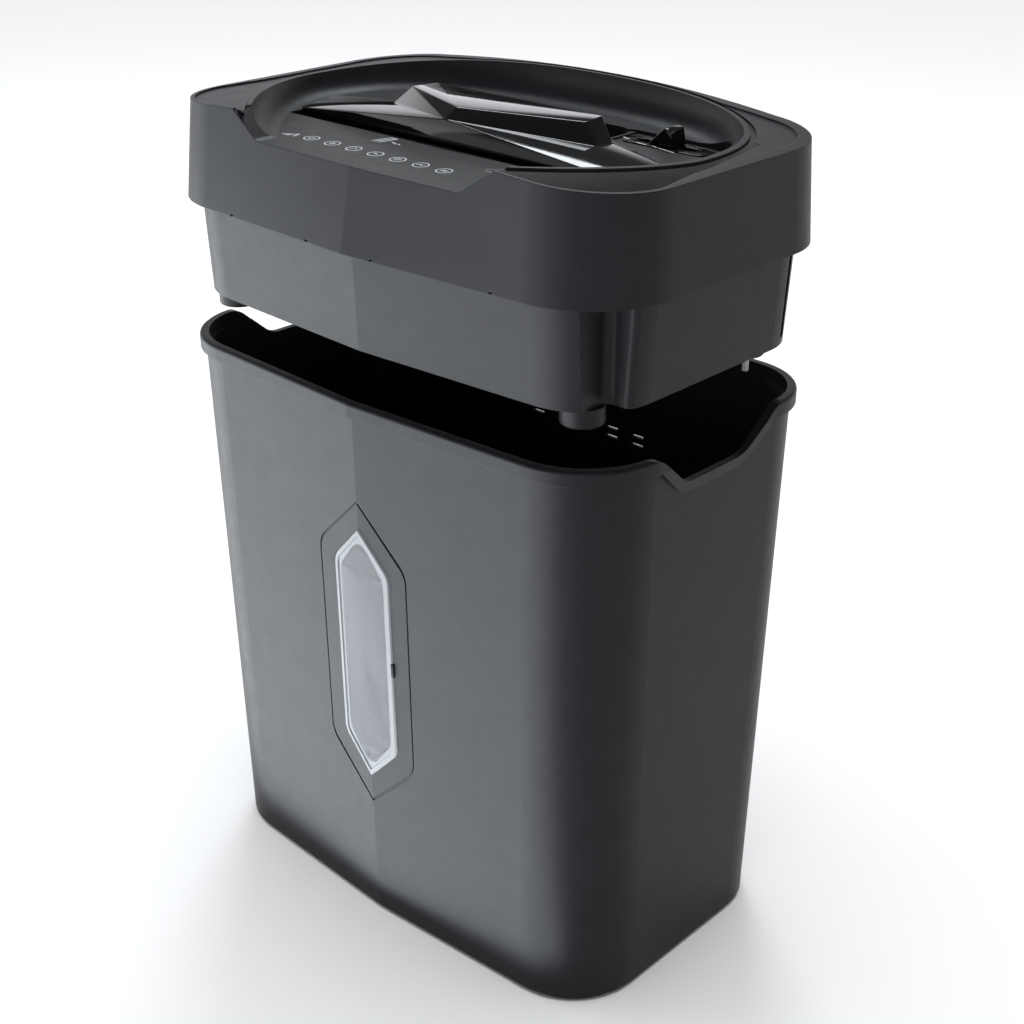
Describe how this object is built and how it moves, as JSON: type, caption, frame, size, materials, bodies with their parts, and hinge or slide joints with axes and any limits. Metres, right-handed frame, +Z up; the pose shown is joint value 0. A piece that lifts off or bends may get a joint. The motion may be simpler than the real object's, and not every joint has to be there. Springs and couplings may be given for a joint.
{
  "type": "paper shredder",
  "caption": "Upright office paper shredder: a tapered bin with a clear window, and a lift-off head with a feed slot, raised grip, slide switch and paired cutter shafts.",
  "frame": {"origin": "centre of the bounding box at floor level, under the bin", "axes": "+X to the object's right across its width, +Y towards its back, +Z up; the folded front with the window faces -Y"},
  "size_m": [0.324, 0.2082, 0.4685],
  "materials": {
    "black_plastic": "fine matte texture",
    "gloss_black": "high gloss",
    "clear_plastic": "clear moulded plastic",
    "foot_rubber": "soft matt",
    "gland_rubber": "soft matt",
    "indicator_lens": "dark translucent red",
    "cutter_steel": "ground, oiled",
    "plate_steel": "zinc plated",
    "bush_bronze": "sintered bronze",
    "gear_steel": "sintered steel, greased",
    "gear_nylon": "natural nylon",
    "comb_plastic": "moulded",
    "motor_steel": "plated can",
    "board_green": "solder mask",
    "relay_blue": "moulded case",
    "capacitor_sleeve": "shrink sleeve",
    "terminal_green": "moulded",
    "transformer_iron": "varnished",
    "switch_case": "moulded",
    "spring_steel": "bright wire",
    "screw_steel": "black zinc"
  },
  "bodies": {
    "bin": {"bin_shell": "black_plastic", "window_lens": "clear_plastic", "bin_foot_front_right": "foot_rubber", "bin_foot_front_left": "foot_rubber", "bin_foot_rear_right": "foot_rubber", "bin_foot_rear_left": "foot_rubber"},
    "shredder_head": {"upper_cover": "black_plastic", "gloss_inlay_right": "gloss_black", "gloss_inlay_left": "gloss_black", "throat_handle": "gloss_black", "feed_throat": "black_plastic", "lower_housing": "black_plastic", "cord_gland": "gland_rubber", "switch_plate": "gloss_black", "switch_body": "switch_case", "power_indicator": "indicator_lens", "stripper_comb_front": "comb_plastic", "stripper_comb_rear": "comb_plastic", "end_plate_left": "plate_steel", "end_plate_right": "plate_steel", "cutter_bushes": "bush_bronze", "tie_rods": "plate_steel", "idler_pin": "plate_steel", "motor_can": "motor_steel", "thermal_cutout": "switch_case", "control_board": "board_green", "board_standoffs": "comb_plastic", "motor_relay": "relay_blue", "mains_capacitor": "capacitor_sleeve", "terminal_block": "terminal_green", "power_transformer": "transformer_iron", "interlock_spring": "spring_steel", "interlock_switch": "switch_case", "sensor_pin": "plate_steel", "sensor_block": "switch_case", "case_screws": "screw_steel"},
    "rear_cutter_shaft": {"cutter_rear": "cutter_steel", "cutter_gear_rear": "gear_steel", "drive_gear": "gear_steel"},
    "front_cutter_shaft": {"cutter_front": "cutter_steel", "cutter_gear_front": "gear_steel"},
    "idler": {"idler_gear": "gear_nylon"},
    "motor_rotor": {"motor_shaft": "plate_steel", "motor_pinion": "gear_steel"},
    "mode_switch": {"switch_knob": "gloss_black"},
    "bin_interlock": {"interlock_plunger": "gear_nylon"},
    "paper_sensor": {"paper_sensor_lever": "comb_plastic"}
  },
  "joints": [
    {"name": "head_lift", "type": "slide", "parent": "bin", "child": "shredder_head", "axis": [0, 0, 1], "range_m": [-0.0785, 0.1]},
    {"name": "rear_cutter_spin", "type": "hinge", "parent": "shredder_head", "child": "rear_cutter_shaft", "pos_m": [0, -0.0165, 0.397], "axis": [1, 0, 0], "continuous": true},
    {"name": "front_cutter_spin", "type": "hinge", "parent": "shredder_head", "child": "front_cutter_shaft", "pos_m": [0, -0.0475, 0.397], "axis": [1, 0, 0], "continuous": true},
    {"name": "idler_spin", "type": "hinge", "parent": "shredder_head", "child": "idler", "pos_m": [0, 0.01333, 0.392], "axis": [1, 0, 0], "continuous": true},
    {"name": "motor_spin", "type": "hinge", "parent": "shredder_head", "child": "motor_rotor", "pos_m": [0, 0.03889, 0.398], "axis": [1, 0, 0], "continuous": true},
    {"name": "mode_slide", "type": "slide", "parent": "shredder_head", "child": "mode_switch", "axis": [1, 0, 0], "range_m": [-0.009, 0.009]},
    {"name": "interlock_push", "type": "slide", "parent": "shredder_head", "child": "bin_interlock", "axis": [0, 0, 1], "range_m": [0, 0.0048], "stiffness_N_per_m": 120, "springref_m": -0.004, "deforming": ["interlock_spring"]},
    {"name": "sensor_swing", "type": "hinge", "parent": "shredder_head", "child": "paper_sensor", "pos_m": [0, -0.019, 0.431], "axis": [1, 0, 0], "range_deg": [0, 35], "stiffness_Nm_per_rad": 0.02, "springref_deg": -11.46}
  ],
  "couplings": [
    {"joint": "front_cutter_spin", "follows": "rear_cutter_spin", "ratio": -1},
    {"joint": "idler_spin", "follows": "rear_cutter_spin", "ratio": -2.75},
    {"joint": "motor_spin", "follows": "rear_cutter_spin", "ratio": 10.25}
  ]
}
